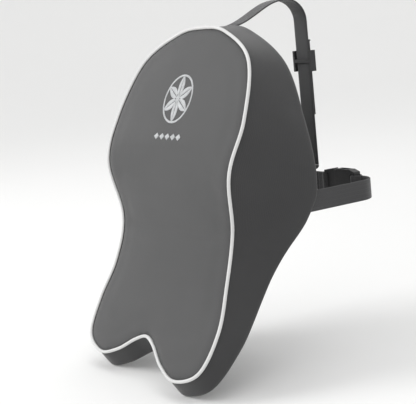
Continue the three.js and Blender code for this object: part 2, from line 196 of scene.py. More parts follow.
def inset(loop, distance):
    """A clockwise loop of points moved inwards along its normals, by one distance or one for each."""
    along = np.roll(loop, -1, 0) - np.roll(loop, 1, 0)
    along /= np.linalg.norm(along, axis=1)[:, None]
    return loop + np.stack([along[:, 1], -along[:, 0]], 1) * np.reshape(distance, (-1, 1))


def distance_to(points, loop):
    """Distance from each 2-D point to a closed loop."""
    best = np.full(len(points), np.inf)
    for start, end in zip(loop, np.roll(loop, -1, 0)):
        along = end - start
        t = np.clip((points - start) @ along / max(along @ along, 1e-9), 0, 1)
        best = np.minimum(best, np.linalg.norm(points - start - t[:, None] * along, axis=1))
    return best


def inside(points, loop):
    """Whether each 2-D point lies inside a closed loop."""
    odd = np.zeros(len(points), bool)
    for (x1, y1), (x2, y2) in zip(loop, np.roll(loop, -1, 0)):
        crosses = (y1 > points[:, 1]) != (y2 > points[:, 1])
        if y1 != y2:
            odd ^= crosses & (points[:, 0] < x1 + (points[:, 1] - y1) / (y2 - y1) * (x2 - x1))
    return odd


def fill(loop, spacing):
    """Triangles over the inside of a closed 2-D loop: points, faces and distances from the loop."""
    low, high = loop.min(0), loop.max(0)
    row_height = spacing * math.sqrt(3) / 2
    rows = np.arange(low[1], high[1], row_height)
    points = np.array(
        [
            (x, y)
            for i, y in enumerate(rows)
            for x in np.arange(low[0] + spacing / 2 * (i % 2), high[0], spacing)
        ]
    )
    points = points[inside(points, loop)]
    points = points[distance_to(points, loop) > 0.55 * spacing]
    everything = [Vector(p) for p in np.concatenate([loop, points])]
    found = delaunay_2d_cdt(everything, [], [list(range(len(loop)))], 1, 1e-4)
    verts = np.array([tuple(v) for v in found[0]])
    return verts, [list(f) for f in found[2]], distance_to(verts, loop)


# ---- meshes -------------------------------------------------------------------------------------
def grid(points, along_u, along_v, closed_u=False, closed_v=False):
    """Quads over points[u][v]. Returns points, faces and the UV of each corner, in metres."""
    nu, nv = points.shape[:2]
    faces, uvs = [], []
    for i in range(nu if closed_u else nu - 1):
        for j in range(nv if closed_v else nv - 1):
            corners = [(i, j), (i + 1, j), (i + 1, j + 1), (i, j + 1)]
            faces.append([(p % nu) * nv + q % nv for p, q in corners])
            uvs += [(along_u[p], along_v[q]) for p, q in corners]
    return points.reshape(-1, 3), faces, uvs


def merge(parts):
    """Several (points, faces, uvs) as one."""
    verts, faces, uvs = [], [], []
    total = 0
    for part_verts, part_faces, part_uvs in parts:
        verts.append(part_verts)
        faces += [[i + total for i in f] for f in part_faces]
        uvs += list(part_uvs)
        total += len(part_verts)
    return np.concatenate(verts), faces, uvs


def piece(name, shape, material, body="root"):
    """A visible piece from (points in metres, faces, uvs), riding on a CAD body."""
    verts, faces, uvs = shape
    mesh = bpy.data.meshes.new(name)
    mesh.from_pydata([tuple(v) for v in verts], [], faces)
    layer = mesh.uv_layers.new(name="UVMap")
    layer.data.foreach_set("uv", np.array(uvs, np.float32).ravel())
    mesh.polygons.foreach_set("use_smooth", np.ones(len(mesh.polygons), bool))
    mesh.materials.append(material)
    mesh.validate()
    mesh.update()
    obj = bpy.data.objects.new(name, mesh)
    scene.collection.objects.link(obj)
    if body:
        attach(obj, body)
    return obj


def facing(shape, direction=None):
    """The same shape with its faces turned, if needed, to look along a direction, or else outwards."""
    verts, faces, uvs = shape
    a, b, c = (verts[[f[k] for f in faces]] for k in range(3))
    wanted = a - verts.mean(0) if direction is None else np.array(direction)
    if (np.cross(b - a, c - a) * wanted).sum() >= 0:
        return shape
    turned, turned_uvs, at = [], [], 0
    for f in faces:
        turned.append(f[::-1])
        turned_uvs += uvs[at : at + len(f)][::-1]
        at += len(f)
    return verts, turned, turned_uvs


def corner_uvs(faces, coordinates):
    """The UV of each corner, from one pair of coordinates for each point."""
    return [tuple(coordinates[i]) for f in faces for i in f]


def tube(line, radius, sides=14, closed=False):
    """A round tube along a line of points in metres."""
    n = len(line)
    ahead = np.roll(line, -1, 0) if closed else np.concatenate([line[1:], 2 * line[-1:] - line[-2:-1]])
    behind = np.roll(line, 1, 0) if closed else np.concatenate([2 * line[:1] - line[1:2], line[:-1]])
    along = ahead - behind
    along /= np.linalg.norm(along, axis=1)[:, None]
    reference = np.array([0, COS, -SIN])
    across = np.cross(along, reference)
    across /= np.linalg.norm(across, axis=1)[:, None]
    up = np.cross(across, along)
    angle = np.linspace(0, 2 * math.pi, sides, endpoint=False)
    radius = np.broadcast_to(radius, (n,))[:, None, None]
    points = line[:, None] + radius * (
        across[:, None] * np.cos(angle)[None, :, None] + up[:, None] * np.sin(angle)[None, :, None]
    )
    s = lengths(np.concatenate([line, line[:1]]) if closed else line)
    round_it = np.linspace(0, 2 * math.pi, sides + 1) * radius.mean()
    return grid(points, s, round_it, closed_u=closed, closed_v=True)


def ribbon(line, across, width, t, step=1.6):
    """A woven strap with rounded edges along a line in millimetres, closed at both ends."""
    line = resample(line, step)
    along = np.gradient(line, axis=0)
    along /= np.linalg.norm(along, axis=1)[:, None]
    across = np.array(across, float)
    normal = np.cross(along, across)
    flat = np.linspace(1, -1, 9) * (width / 2 - 0.5 * t)
    edge = [(0.18 * t, 0.36 * t), (0, 0), (0.18 * t, -0.36 * t)]
    left = [(-width / 2 + a, b) for a, b in edge]
    right = [(width / 2 - a, -b) for a, b in edge]
    section = [(w, t / 2) for w in flat] + left + [(w, -t / 2) for w in flat[::-1]] + right
    section = np.array(section)
    w, n = section[None, :, 0, None], section[None, :, 1, None]
    points = (line[:, None] + w * across + n * normal[:, None]) * MM
    loop = np.concatenate([section, section[:1]])
    verts, faces, uvs = grid(points, lengths(line) * MM, lengths(loop) * MM, closed_v=True)
    m, last = len(section), (len(line) - 1) * len(section)
    for cap in (list(range(m)), [last + i for i in reversed(range(m))]):
        faces.append(cap)
        uvs += [(section[i % m, 0] * MM, section[i % m, 1] * MM) for i in cap]
    return verts, faces, uvs


def strand(a, b, normal, r, arch=0.0, sides=5):
    """One stitch of thread from a to b, arched over the cloth, in metres."""
    a, b, normal = (np.array(v, float) for v in (a, b, normal))
    along = (b - a) / max(np.linalg.norm(b - a), 1e-9)
    across = np.cross(along, normal)
    s = np.array([0, 0.12, 0.5, 0.88, 1])
    thick = np.array([0.35, 0.9, 1, 0.9, 0.35]) * r
    lift = np.array([-0.5, 0.35, 0.6, 0.35, -0.5]) * r + arch * np.array([0, 0.5, 1, 0.5, 0])
    centre = a + s[:, None] * (b - a) + lift[:, None] * normal
    angle = np.linspace(0, 2 * math.pi, sides, endpoint=False)
    ring = across * np.cos(angle)[:, None] + normal * np.sin(angle)[:, None]
    points = centre[:, None] + thick[:, None, None] * ring
    length = np.linalg.norm(b - a)
    around = np.linspace(0, 2 * math.pi * r, sides + 1)
    verts, faces, uvs = grid(points, s * length, around, closed_v=True)
    for cap in (list(range(sides)), [4 * sides + i for i in reversed(range(sides))]):
        faces.append(cap)
        uvs += [(0, 0)] * sides
    return verts, faces, uvs


def sewn(line, normal, pitch=3.0, r=0.24):
    """A row of stitches along a line in metres."""
    line = resample(np.array(line, float), count=max(2, int(lengths(line)[-1] / (pitch * MM)) + 1))
    normals = np.broadcast_to(normal, line.shape)
    return [
        strand(a + (b - a) * 0.12, b - (b - a) * 0.12, n, r * MM)
        for a, b, n in zip(line[:-1], line[1:], normals)
    ]


def crossed_box(centre, u, v, normal, width, height):
    """The box with a cross in it that a strap end is sewn down with, in millimetres."""
    centre, u, v = (np.array(q, float) for q in (centre, u, v))
    a, b, c, d = (
        (centre + u * i * width / 2 + v * j * height / 2) * MM
        for i, j in ((-1, -1), (1, -1), (1, 1), (-1, 1))
    )
    rows = [(a, b), (b, c), (c, d), (d, a), (a, c), (b, d)]
    return [s for p, q in rows for s in sewn([p, q], normal, pitch=2.4)]


# ---- materials ----------------------------------------------------------------------------------
class Finish:
    """A material built node by node round its Principled shader."""

    def __init__(self, name, color, roughness, **constants):
        self.material = bpy.data.materials.new(name)
        self.material.use_nodes = True
        self.tree = self.material.node_tree
        self.shader = self.tree.nodes["Principled BSDF"]
        self.shader.inputs["Base Color"].default_value = (*color, 1)
        self.shader.inputs["Roughness"].default_value = roughness
        for socket, value in constants.items():
            self.shader.inputs[socket.replace("_", " ")].default_value = value
        self.color = color

    def node(self, kind, settings=None, **inputs):
        """A new node, its inputs given by name, or by place as i0, i1 and so on."""
        made = self.tree.nodes.new("ShaderNode" + kind)
        for key, value in (settings or {}).items():
            setattr(made, key, value)
        for key, value in inputs.items():
            socket = made.inputs[int(key[1:]) if key[1:].isdigit() else key]
            if isinstance(value, bpy.types.NodeSocket):
                self.tree.links.new(value, socket)
            else:
                socket.default_value = value
        return made

    def link(self, output, socket):
        self.tree.links.new(output, self.shader.inputs[socket])

    def uv(self):
        return self.node("UVMap").outputs["UV"]

    def object_space(self):
        return self.node("TexCoord").outputs["Object"]

    def noise(self, vector, scale, detail=3.0, rough=0.55):
        found = self.node("TexNoise", Vector=vector, Scale=scale, Detail=detail, Roughness=rough)
        return found.outputs["Fac"]

    def bands(self, vector, period, direction="X", distortion=0.0):
        """Parallel ridges, one for each period in metres."""
        made = self.node(
            "TexWave",
            {"wave_type": "BANDS", "bands_direction": direction},
            Vector=vector,
            Scale=math.pi / 10 / period,
            Distortion=distortion,
        )
        return made.outputs["Fac"]

    def turned(self, vector, degrees):
        made = self.node("Mapping", Vector=vector)
        made.inputs["Rotation"].default_value = (0, 0, math.radians(degrees))
        return made.outputs["Vector"]

    def math(self, operation, a, b):
        return self.node("Math", {"operation": operation}, i0=a, i1=b).outputs[0]

    def shades(self, factor, low, high):
        """Colour variation: the base colour scaled from low to high along a factor."""
        ramp = self.node("ValToRGB", Fac=factor)
        for element, share in zip(ramp.color_ramp.elements, (low, high)):
            element.color = (*[min(1, c * share) for c in self.color], 1)
        ramp.color_ramp.elements[0].position = 0.25
        ramp.color_ramp.elements[1].position = 0.75
        return ramp.outputs["Color"]

    def tinted(self, a, b, share):
        made = self.node("Mix", {"data_type": "RGBA", "blend_type": "MULTIPLY"})
        made.inputs[0].default_value = share
        self.tree.links.new(a, made.inputs[6])
        self.tree.links.new(b, made.inputs[7])
        return made.outputs[2]

    def bump(self, height, strength, distance, below=None):
        inputs = {"Height": height, "Strength": strength, "Distance": distance}
        if below is not None:
            inputs["Normal"] = below
        return self.node("Bump", **inputs).outputs["Normal"]

    def roughness_from(self, factor, low, high):
        made = self.node("MapRange", Value=factor)
        made.inputs["To Min"].default_value = low
        made.inputs["To Max"].default_value = high
        self.link(made.outputs["Result"], "Roughness")


def cloth(name, color, pitch, roughness, variation=(0.93, 1.06), twill=False, sheen=0.25):
    """Woven or knitted cloth: thread ridges both ways, loose fibres and slow colour variation."""
    f = Finish(name, color, roughness, Sheen_Weight=sheen, Sheen_Roughness=0.45)
    f.shader.inputs["Specular IOR Level"].default_value = 0.25
    uv = f.uv()
    across = f.bands(f.turned(uv, 45) if twill else uv, pitch * MM, "X", 0.4)
    along = f.bands(uv, pitch * MM * (2 if twill else 1), "Y", 0.4)
    weave = f.math("MULTIPLY", across, along)
    fibres = f.noise(uv, 2600, 4)
    slow = f.noise(f.object_space(), 14, 4)
    base = f.shades(slow, *variation)
    both = f.math("ADD", f.math("MULTIPLY", weave, 0.5), f.math("MULTIPLY", fibres, 0.5))
    grain = f.node("ValToRGB", Fac=both)
    grain.color_ramp.elements[0].color = (0.8, 0.8, 0.8, 1)
    grain.color_ramp.elements[1].color = (1, 1, 1, 1)
    f.link(f.tinted(base, grain.outputs["Color"], 0.7), "Base Color")
    f.roughness_from(fibres, roughness - 0.08, min(1, roughness + 0.08))
    fine = f.bump(fibres, 0.25, 0.00008)
    f.link(f.bump(weave, 0.5, 0.00016, fine), "Normal")
    return f.material


def webbing(name, color, stretch=False):
    """Woven strap: herringbone ridges, or for elastic lengthwise cords crossed by fine ribs."""
    f = Finish(name, color, 0.78, Sheen_Weight=0.3, Sheen_Roughness=0.4)
    uv = f.uv()
    if stretch:
        a = f.bands(uv, 0.0017, "Y", 0.2)
        b = f.bands(uv, 0.0009, "X", 0.6)
        weave = f.math("MULTIPLY", a, b)
    else:
        a = f.bands(f.turned(uv, 40), 0.0014, "X", 0.2)
        b = f.bands(f.turned(uv, -40), 0.0014, "X", 0.2)
        ribs = f.bands(uv, 0.0044, "Y")
        other = f.math("MULTIPLY", b, f.math("SUBTRACT", 1.0, ribs))
        weave = f.math("MAXIMUM", f.math("MULTIPLY", a, ribs), other)
    fibres = f.noise(uv, 3200, 3)
    slow = f.noise(f.object_space(), 26, 3)
    shade = f.node("ValToRGB", Fac=weave)
    shade.color_ramp.elements[0].color = (0.55, 0.55, 0.55, 1)
    shade.color_ramp.elements[1].color = (1, 1, 1, 1)
    f.link(f.tinted(f.shades(slow, 0.9, 1.12), shade.outputs["Color"], 0.8), "Base Color")
    f.roughness_from(fibres, 0.68, 0.9)
    f.link(f.bump(weave, 0.8, 0.0003, f.bump(fibres, 0.3, 0.00008)), "Normal")
    return f.material


def wrapped_cord():
    """Piping cloth on the bias, over a round cord."""
    f = Finish("piping_cloth", (0.6, 0.6, 0.595), 0.5, Sheen_Weight=0.15, Sheen_Roughness=0.4)
    uv = f.uv()
    a = f.bands(f.turned(uv, 45), 0.0006, "X", 0.3)
    b = f.bands(f.turned(uv, -45), 0.0006, "X", 0.3)
    weave = f.math("MULTIPLY", a, b)
    slow = f.noise(f.object_space(), 30, 3)
    f.link(f.shades(slow, 0.93, 1.04), "Base Color")
    f.roughness_from(f.noise(uv, 1500, 3), 0.42, 0.6)
    f.link(f.bump(weave, 0.4, 0.00012), "Normal")
    return f.material


def thread(name, color, sheen=0.5):
    """Twisted thread with a silky lie."""
    f = Finish(name, color, 0.42, Sheen_Weight=sheen, Sheen_Roughness=0.3)
    twist = f.bands(f.turned(f.uv(), 50), 0.0005, "X", 0.2)
    f.link(f.shades(f.noise(f.object_space(), 240, 2), 0.85, 1.1), "Base Color")
    f.roughness_from(twist, 0.34, 0.55)
    f.link(f.bump(twist, 0.5, 0.00006), "Normal")
    return f.material


def moulded_plastic():
    """Black moulded plastic with spark-eroded grain and slight scuffs."""
    f = Finish("moulded_plastic", (0.016, 0.016, 0.017), 0.42, Specular_IOR_Level=0.5)
    where = f.object_space()
    grain = f.noise(where, 2400, 3)
    scuffs = f.noise(where, 140, 5, 0.7)
    f.link(f.shades(scuffs, 0.8, 1.5), "Base Color")
    f.roughness_from(scuffs, 0.34, 0.56)
    f.link(f.bump(grain, 0.35, 0.00006), "Normal")
    return f.material


def zip_metal():
    """Tumbled nickel-plated zinc."""
    f = Finish("zip_metal", (0.62, 0.63, 0.65), 0.28, Metallic=1.0)
    where = f.object_space()
    cloudy = f.noise(where, 420, 4, 0.6)
    f.link(f.shades(cloudy, 0.82, 1.1), "Base Color")
    f.roughness_from(cloudy, 0.2, 0.4)
    f.link(f.bump(f.noise(where, 1800, 2), 0.15, 0.00004), "Normal")
    return f.material


def foam_rubber():
    """Open-celled memory foam."""
    f = Finish("memory_foam", (0.80, 0.76, 0.64), 0.95)
    where = f.object_space()
    cells = f.node("TexVoronoi", Vector=where, Scale=900.0).outputs["Distance"]
    f.link(f.shades(f.noise(where, 22, 4), 0.9, 1.03), "Base Color")
    f.roughness_from(cells, 0.85, 1.0)
    f.link(f.bump(cells, 0.4, 0.0003), "Normal")
    return f.material


def plain_floor():
    """Pale matt backdrop."""
    f = Finish("studio_floor", (0.8, 0.8, 0.795), 0.9)
    f.link(f.shades(f.noise(f.object_space(), 0.7, 2), 0.99, 1.01), "Base Color")
    return f.material


FACE_CLOTH = cloth("cover_face_cloth", (0.072, 0.072, 0.073), 0.7, 0.74, (0.95, 1.05), sheen=0.2)
SIDE_CLOTH = cloth("cover_side_cloth", (0.045, 0.045, 0.046), 0.6, 0.82, (0.93, 1.06), twill=True)
TAPE_CLOTH = cloth("zip_tape_cloth", (0.03, 0.03, 0.031), 0.5, 0.8, (0.9, 1.1), twill=True)
WEBBING = webbing("strap_webbing", (0.05, 0.05, 0.052))
ELASTIC = webbing("belt_elastic", (0.045, 0.045, 0.047), stretch=True)
PIPING_CLOTH = wrapped_cord()
SILVER_THREAD = thread("silver_thread", (0.5, 0.51, 0.52))
SIDE_THREAD = thread("cover_thread", (0.10, 0.10, 0.102), 0.2)
STRAP_THREAD = thread("strap_thread", (0.075, 0.075, 0.078), 0.2)
PLASTIC = moulded_plastic()
METAL = zip_metal()
FOAM = foam_rubber()


# ---- the padded cover: how far pressure from inside pushes each panel out -----------------------
def drawn_body():
    """The closed shape of the pillow as drawn, welded, for the simulation and the foam."""
    parts = []
    for t in (0, 1):
        x, _, h = flare(outline[:, 0], outline[:, 1], t)
        verts, faces, _ = fill(np.stack([x, h], 1), 7)
        depth = face_depth(verts[:, 1]) if t == 0 else back_depth(verts[:, 1])
        cap = to_part(verts[:, 0], depth, verts[:, 1]), faces, corner_uvs(faces, verts * MM)
        parts.append(facing(cap, (0, -1, 0) if t == 0 else (0, 1, 0)))
    steps = np.linspace(0, 1, 13)
    side = np.stack([to_part(*flare(outline[:, 0], outline[:, 1], t)) for t in steps], 1)
    parts.append(grid(side, np.zeros(RING + 1), np.zeros(13), closed_u=True))
    verts, faces, _ = merge(parts)
    body = bmesh.new()
    corners = [body.verts.new(v) for v in verts]
    for f in faces:
        body.faces.new([corners[i] for i in f])
    bmesh.ops.remove_doubles(body, verts=body.verts, dist=0.05 * MM)
    bmesh.ops.recalc_face_normals(body, faces=body.faces)
    mesh = bpy.data.meshes.new("drawn_body")
    body.to_mesh(mesh)
    body.free()
    return mesh


def seam_points():
    """Points along the seams, which hold the cover in while its panels swell."""
    loops = [to_part(*flare(outline[:, 0], outline[:, 1], t)) for t in (0, 1)]
    edge = np.linspace(-128, 128, 80)
    for h in (BACK_SEAM, ZIP["h"]):
        loops.append(to_part(edge, back_depth(np.full(80, h)), h))
    return np.concatenate(loops)


def nearest(points):
    """A search tree over points."""
    tree = KDTree(len(points))
    for i, p in enumerate(points):
        tree.insert(p, i)
    tree.balance()
    return tree


def swell():
    """Inflates the cover by cloth simulation. Returns a function from points to displacements."""
    obj = bpy.data.objects.new("swelling", drawn_body())
    scene.collection.objects.link(obj)
    bpy.context.view_layer.objects.active = obj
    remesh = obj.modifiers.new("Remesh", "REMESH")
    remesh.mode, remesh.voxel_size = "VOXEL", VOXEL * MM
    bpy.ops.object.modifier_apply(modifier=remesh.name)
    rest = np.array([v.co for v in obj.data.vertices])
    seams = nearest(seam_points())
    group = obj.vertex_groups.new(name="held")
    for i, p in enumerate(rest):
        far = seams.find(p)[2] / MM
        group.add([i], float(np.clip((LET_GO - far) / (LET_GO - HELD), 0, 1)), "REPLACE")
    settings = obj.modifiers.new("Cloth", "CLOTH").settings
    settings.quality = 5
    settings.mass = 0.3
    settings.tension_stiffness = settings.compression_stiffness = 22
    settings.shear_stiffness = 8
    settings.bending_stiffness = 1.5
    settings.use_pressure = True
    settings.uniform_pressure_force = 4
    settings.effector_weights.gravity = 0
    settings.vertex_group_mass = "held"
    for step in range(SWELL_STEPS):
        scene.frame_set(step + 1)
    shaped = obj.evaluated_get(bpy.context.evaluated_depsgraph_get()).to_mesh()
    moved = np.array([v.co for v in shaped.vertices]) - rest
    scene.frame_set(1)
    bpy.data.objects.remove(obj)
    amount = np.linalg.norm(moved, axis=1)[:, None]
    cap = PUFF_CAP * MM
    moved *= cap * np.tanh(amount / cap) / np.maximum(amount, 1e-9)
    tree = nearest(rest)

    def displacement(points):
        out = np.zeros_like(points)
        for i, p in enumerate(points):
            found = tree.find_n(p, 10)
            weight = np.array([1 / (0.003 + distance) ** 2 for _, _, distance in found])
            out[i] = weight @ moved[[index for _, index, _ in found]] / weight.sum()
        return out

    return displacement


puff = swell()


def padded_panel(name, shape, from_seam, material, replaces):
    """A cover panel that swells away from its seams; from_seam runs from 0 at them to 1 well inside."""
    verts, faces, uvs = shape
    fade = np.clip(from_seam, 0, 1)[:, None]
    verts = verts + puff(verts) * fade * fade * (3 - 2 * fade)
    obj = piece(name, (verts, faces, uvs), material)
    thick = obj.modifiers.new("Thickness", "SOLIDIFY")
    thick.thickness, thick.offset = PANEL_T * MM, -1
    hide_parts(replaces)
    return obj


def cover_face():
    """The face: one panel of smooth cloth that rolls over into the piping seam."""
    loop = inset(outline, EDGE)
    points, faces, edge = fill(loop, 4)
    tuck = TUCK * (1 - np.clip(edge / TUCK_WIDTH, 0, 1)) ** 2
    verts = to_part(points[:, 0], face_depth(points[:, 1]) + tuck, points[:, 1])
    shape = facing((verts, faces, corner_uvs(faces, points * MM)), (0, -1, 0))
    return padded_panel("cover_face", shape, edge / FACE_FADE, FACE_CLOTH, "front_panel")


def cover_boxing():
    """The side strip, from the piping to the back seam."""
    rows = 34
    share = (1 - np.cos(np.linspace(0, math.pi, rows))) / 2
    columns = np.zeros((RING, rows, 3))
    edge = np.zeros((RING, rows))
    front = face_depth(outline[:, 1])
    _, back, _ = flare(outline[:, 0], outline[:, 1], 1)
    depth = back - front
    start = PIPING_DEPTH / depth
    for j, s in enumerate(share):
        t = start + (1 - start) * s
        near, far = t * depth, (1 - t) * depth
        tuck = EDGE * np.exp(-near / 2.2) + EDGE * np.exp(-far / 1.8)
        loop = inset(outline, tuck)
        columns[:, j] = to_part(*flare(loop[:, 0], loop[:, 1], t))
        edge[:, j] = np.minimum(near, far)
    around = lengths(to_part(outline[:, 0], 0, outline[:, 1]))
    around = np.append(around, around[-1] + 3 * MM)
    shape = facing(grid(columns, around, share * depth.mean() * MM, closed_u=True))
    from_seam = edge.reshape(-1) / SIDE_FADE
    padded_panel("cover_boxing", shape, from_seam, SIDE_CLOTH, "boxing")


def clip(loop, height, above):
    """The part of a closed loop above or below a height."""
    sign = 1 if above else -1
    out = []
    for p, q in zip(loop, np.roll(loop, -1, 0)):
        a, b = sign * (p[1] - height), sign * (q[1] - height)
        if a >= 0:
            out.append(p)
        if a * b < 0:
            out.append(p + (q - p) * a / (a - b))
    return np.array(out)


def refine(loop, longest):
    """The closed loop with its long edges divided."""
    out = []
    for p, q in zip(loop, np.roll(loop, -1, 0)):
        n = max(1, math.ceil(np.linalg.norm(q - p) / longest))
        out += [p + (q - p) * k / n for k in range(n)]
    return np.array(out)


def with_zip_opening(loop, height, side):
    """The loop with half the zip's opening cut into its straight edge, side +1 above it, -1 below."""
    level = [abs(p[1] - height) + abs(q[1] - height) < 1e-6 for p, q in zip(loop, np.roll(loop, -1, 0))]
    i = level.index(True)
    corner = [(4, 0), (3.5, 0.45), (2.2, 0.8), (-1, 1)]
    sign = np.sign(loop[i][0])
    near = [(sign * (ZIP["half"] + a), height + side * ZIP["open"] * b) for a, b in corner]
    far = [(-x, h) for x, h in near[::-1]]
    return np.concatenate([loop[: i + 1], near, far, loop[i + 1 :]])


def back_panel(name, low, high, node, opening=0):
    """A panel of the back between two seams, with half the zip opening above or below its zip seam."""
    x, _, h = flare(outline[:, 0], outline[:, 1], 1)
    loop = inset(np.stack([x, h], 1), EDGE)
    if low is not None:
        loop = clip(loop, low, True)
    if high is not None:
        loop = clip(loop, high, False)
    if opening:
        loop = with_zip_opening(loop, low if opening > 0 else high, opening)
    points, faces, edge = fill(refine(loop, 4.2), 4.5)
    from_zip = np.hypot(
        np.maximum(np.abs(points[:, 0]) - ZIP["half"], 0),
        np.maximum(np.abs(points[:, 1] - ZIP["h"]) - ZIP["open"], 0),
    )
    hem = np.clip(1 - from_zip / 8, 0, 1) if opening else np.zeros(len(points))
    lift = 0.5 * np.sqrt(hem) - EDGE * np.exp(-edge / 1.8) * (1 - hem)
    verts = to_part(points[:, 0], back_depth(points[:, 1]) + lift, points[:, 1])
    shape = facing((verts, faces, corner_uvs(faces, points * MM)), (0, 1, 0))
    padded_panel(name, shape, edge / SIDE_FADE, SIDE_CLOTH, node)


def foam_filling():
    """The foam core, a little inside the cover, hollowed behind the zip."""
    mesh = drawn_body()
    verts = np.array([v.co for v in mesh.vertices])
    normals = np.array([v.normal for v in mesh.vertices])
    from_zip = np.linalg.norm(verts[:, 1:] - zip_at(0, 0)[1:], axis=1)
    near = (from_zip < 0.02) & (np.abs(verts[:, 0]) < 0.1)
    verts = verts - normals * (FOAM_INSET + ZIP_HOLLOW * near)[:, None] * MM
    faces = [list(p.vertices) for p in mesh.polygons]
    bpy.data.meshes.remove(mesh)
    obj = piece("foam_filling", (verts, faces, corner_uvs(faces, verts[:, ::2])), FOAM)
    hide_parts("foam_core")


def piping():
    """The cord all round the face, wrapped in pale cloth whose ends lap over at the notch."""
    path = resample(np.concatenate([outline, outline[:1]]), count=2 * RING + 1)[:-1]
    line = to_part(path[:, 0], face_depth(path[:, 1]) + PIPING_DEPTH, path[:, 1])
    from_notch = np.hypot(path[:, 0] - 9, path[:, 1] - OUTLINE[-1][1])
    lap = np.clip((7 - from_notch) / 1.5, 0, 1)
    radius = (PIPING_R + 0.22 * lap + 0.03 * rng.standard_normal(len(path))) * MM
    obj = piece("face_piping_cloth", tube(line, radius, 16, closed=True), PIPING_CLOTH)
    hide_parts("face_piping")


# ---- zip ----------------------------------------------------------------------------------------
zip_lean = LEAN + math.atan2(LOWER_BACK[0][1] - LOWER_BACK[1][1], LOWER_BACK[0][0] - LOWER_BACK[1][0])
ZIP_OUT = np.array([0, math.cos(zip_lean), -math.sin(zip_lean)])
ZIP_UP = np.array([0, math.sin(zip_lean), math.cos(zip_lean)])


def zip_at(x, up, out=0.0):
    """A point of the zip's own frame, in metres in the part's frame."""
    origin = to_part(0, float(back_line(ZIP["h"])), ZIP["h"])
    return origin + (np.array([x, 0, 0]) + up * ZIP_UP + out * ZIP_OUT) * MM


def zip_tapes():
    for side, sign in (("upper", 1), ("lower", -1)):
        middle = sign * (ZIP["tape_in"] + ZIP["tape_out"]) / 2
        width = ZIP["tape_out"] - ZIP["tape_in"]
        ends = [zip_at(x, middle, ZIP["y"]) / MM for x in (-ZIP["tape"], ZIP["tape"])]
        tape = ribbon(ends, ZIP_UP, width, 0.8, 3)
        bead = [zip_at(x, sign * ZIP["tape_in"], ZIP["y"] + 0.1) for x in (-ZIP["tape"], ZIP["tape"])]
        cord = tube(resample(bead, 0.003), 0.55 * MM, 8)
        obj = piece(f"zip_tape_cloth_{side}", merge([tape, cord]), TAPE_CLOTH)
        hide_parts(f"zip_tape_{side}")


def cover_stitching():
    """Topstitching beside the zip, through the cover's folded edges and the tapes."""
    stitches = []
    reach = ZIP["half"] + 5
    for sign in (1, -1):
        row = ZIP["open"] + 2.6
        stitches += sewn([zip_at(x, sign * row, 0.55) for x in (-reach, reach)], ZIP_OUT)
    for sign in (1, -1):
        ends = [zip_at(sign * reach, up, 0.5) for up in (-ZIP["open"] - 2.6, ZIP["open"] + 2.6)]
        stitches += sewn(ends, ZIP_OUT)
    piece("zip_topstitching", merge(stitches), SIDE_THREAD)


# ---- embroidery ---------------------------------------------------------------------------------
SATIN_R, SATIN_ARCH = 0.26, 0.35  # a stitch's radius, and how high its middle lies over the cloth
RING_STITCHES = 400
IN_FRONT = -90.0  # a depth clear of the face, from which points are dropped onto it


def embroidery(face):
    """Satin stitch: a rosette of six petals in a ring, over a band of lozenges."""
    bpy.context.view_layer.update()
    surface = BVHTree.FromObject(face, bpy.context.evaluated_depsgraph_get())
    inward = Vector((0, COS, -SIN))

    def on_face(x, h):
        found = surface.ray_cast(Vector(to_part(x, IN_FRONT, h)), inward)[0]
        return np.array(found)

    def satin(pairs):
        """Long stitches over the cloth, each from a to b on the face."""
        normal = -np.array(inward)
        out = []
        for a, b in pairs:
            p, q = on_face(*a), on_face(*b)
            middle = on_face((a[0] + b[0]) / 2, (a[1] + b[1]) / 2)
            rise = max(0.0, float(normal @ (middle - (p + q) / 2)))
            radius = SATIN_R * MM * rng.uniform(0.92, 1.08)
            out.append(strand(p, q, normal, radius, SATIN_ARCH * MM + rise))
        return out

    centre = EMBLEM["h"]

    def polar(r, angle):
        return r * math.sin(angle), centre + r * math.cos(angle)

    ring = []
    for k in range(RING_STITCHES):
        a = 2 * math.pi * k / RING_STITCHES
        jitter = rng.uniform(-0.15, 0.15)
        inner, outer = EMBLEM["ring"] - EMBLEM["rim"] + jitter, EMBLEM["ring"] + jitter
        ring.append((polar(inner, a), polar(outer, a + 0.02)))
    spokes = [2 * math.pi * k / 30 for k in range(30)]
    core = [(polar(0.4, a), polar(EMBLEM["core"], a)) for a in spokes]

    def petal_edge(t):
        """Half width and height of a petal at t along it."""
        belly, tip = EMBLEM["ring"] / 2, EMBLEM["ring"] - 1
        return 1.64 * belly * t * (1 - t), (1 - t) ** 2 + 2 * belly * t * (1 - t) + tip * t * t

    petals = []
    for petal in range(6):
        turn = petal * math.pi / 3
        for t in np.linspace(0.2, 0.97, 50):
            vein = petal_edge(t - 0.1)[1]
            width, height = petal_edge(t)
            for sign in (-1, 1):
                ends = []
                for u, v in ((sign * 0.25, vein), (sign * width, height)):
                    ends.append(
                        (
                            u * math.cos(turn) + v * math.sin(turn),
                            centre - u * math.sin(turn) + v * math.cos(turn),
                        )
                    )
                petals.append(tuple(ends))
    rosette = satin(ring) + satin(core) + satin(petals)
    obj = piece("emblem_rosette_embroidery", merge(rosette), SILVER_THREAD)
    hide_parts("emblem_rosette")

    lozenges = []
    for i in range(5):
        for x in np.linspace(-4.4, 4.4, 21):
            reach = 4 - 3.5 * abs(x) / 4.6
            at = (i - 2) * 11.5 + x
            lozenges.append(((at, EMBLEM["band"] - reach), (at + 0.2, EMBLEM["band"] + reach)))
    obj = piece("emblem_band_embroidery", merge(satin(lozenges)), SILVER_THREAD)
    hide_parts("emblem_band")


# ---- straps -------------------------------------------------------------------------------------
def yz(points):
    """Points on the plane of symmetry."""
    return [(0.0, y, z) for y, z in points]


def xy(points):
    """Points at the belt's height."""
    return [(x, y, BELT["z"]) for x, y in points]


